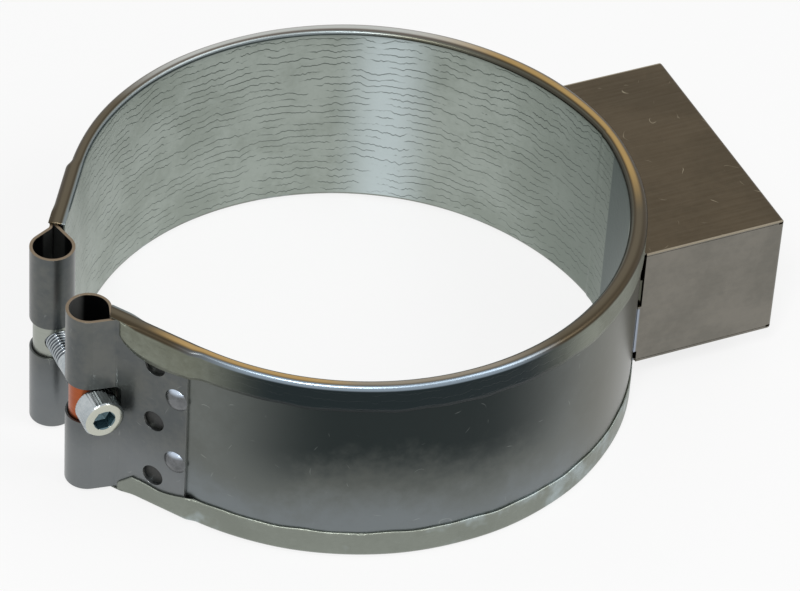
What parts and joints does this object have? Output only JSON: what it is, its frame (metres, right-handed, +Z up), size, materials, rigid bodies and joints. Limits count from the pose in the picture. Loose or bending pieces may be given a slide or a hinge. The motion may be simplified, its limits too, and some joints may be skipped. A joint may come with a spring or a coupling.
{
  "type": "band heater",
  "caption": "Mica band heater: a hemmed sheet-metal ring with a folded terminal box, drawn shut at its gap by a cap screw through barrel nuts in looped lugs.",
  "frame": {"origin": "on the bore's axis, level with the bottom rim", "axes": "+Z up along the bore, +X towards the terminal box, so that the clamped gap is at -X"},
  "size_m": [0.2311, 0.1784, 0.0684],
  "materials": {
    "galvanised_sheet": "galvanised sheet, satin",
    "strap_steel": "rolled strip, satin",
    "zinc_plate": "zinc plated, satin",
    "bright_zinc": "zinc plated, bright",
    "coppered_steel": "copper plated, satin",
    "mica": "pressed mica board",
    "resistance_alloy": "rolled ribbon",
    "steatite": "unglazed ceramic",
    "nickel_plate": "nickel plated brass"
  },
  "bodies": {
    "root": {"earth_nut": "bright_zinc", "earth_stud": "bright_zinc", "earth_washer": "bright_zinc", "gland_body": "nickel_plate", "gland_cap": "nickel_plate", "gland_lock_nut": "nickel_plate", "head_lug": "strap_steel", "head_lug_rivets": "zinc_plate", "inner_mica": "mica", "inner_sheath": "galvanised_sheet", "nut_lug": "strap_steel", "nut_lug_rivets": "zinc_plate", "outer_mica": "mica", "outer_sheath": "galvanised_sheet", "resistance_ribbon": "resistance_alloy", "terminal_box": "galvanised_sheet", "terminal_bushes": "steatite", "terminal_nuts": "bright_zinc", "terminal_pad": "mica", "terminal_studs": "bright_zinc", "terminal_washers": "bright_zinc", "winding_core": "mica"},
    "nut_trunnion": {"nut_trunnion": "zinc_plate"},
    "clamp_screw": {"clamp_screw": "bright_zinc"},
    "head_trunnion": {"head_trunnion": "coppered_steel"}
  },
  "joints": [
    {"name": "nut_trunnion_turn", "type": "hinge", "parent": "root", "child": "nut_trunnion", "pos_m": [-0.0953, 0.0109, 0.0342], "axis": [0, 0, 1], "range_deg": [-0.5, 0.5]},
    {"name": "clamp_screw_turn", "type": "hinge", "parent": "nut_trunnion", "child": "clamp_screw", "pos_m": [-0.0953, 0.0109, 0.0342], "axis": [0.0005, 1, 0], "continuous": true},
    {"name": "head_trunnion_turn", "type": "hinge", "parent": "root", "child": "head_trunnion", "pos_m": [-0.09531, -0.01987, 0.0342], "axis": [0, 0, 1], "range_deg": [-0.5, 0.5]}
  ],
  "couplings": [
    {"joint": "head_trunnion_turn", "follows": "nut_trunnion_turn", "ratio": 1}
  ]
}
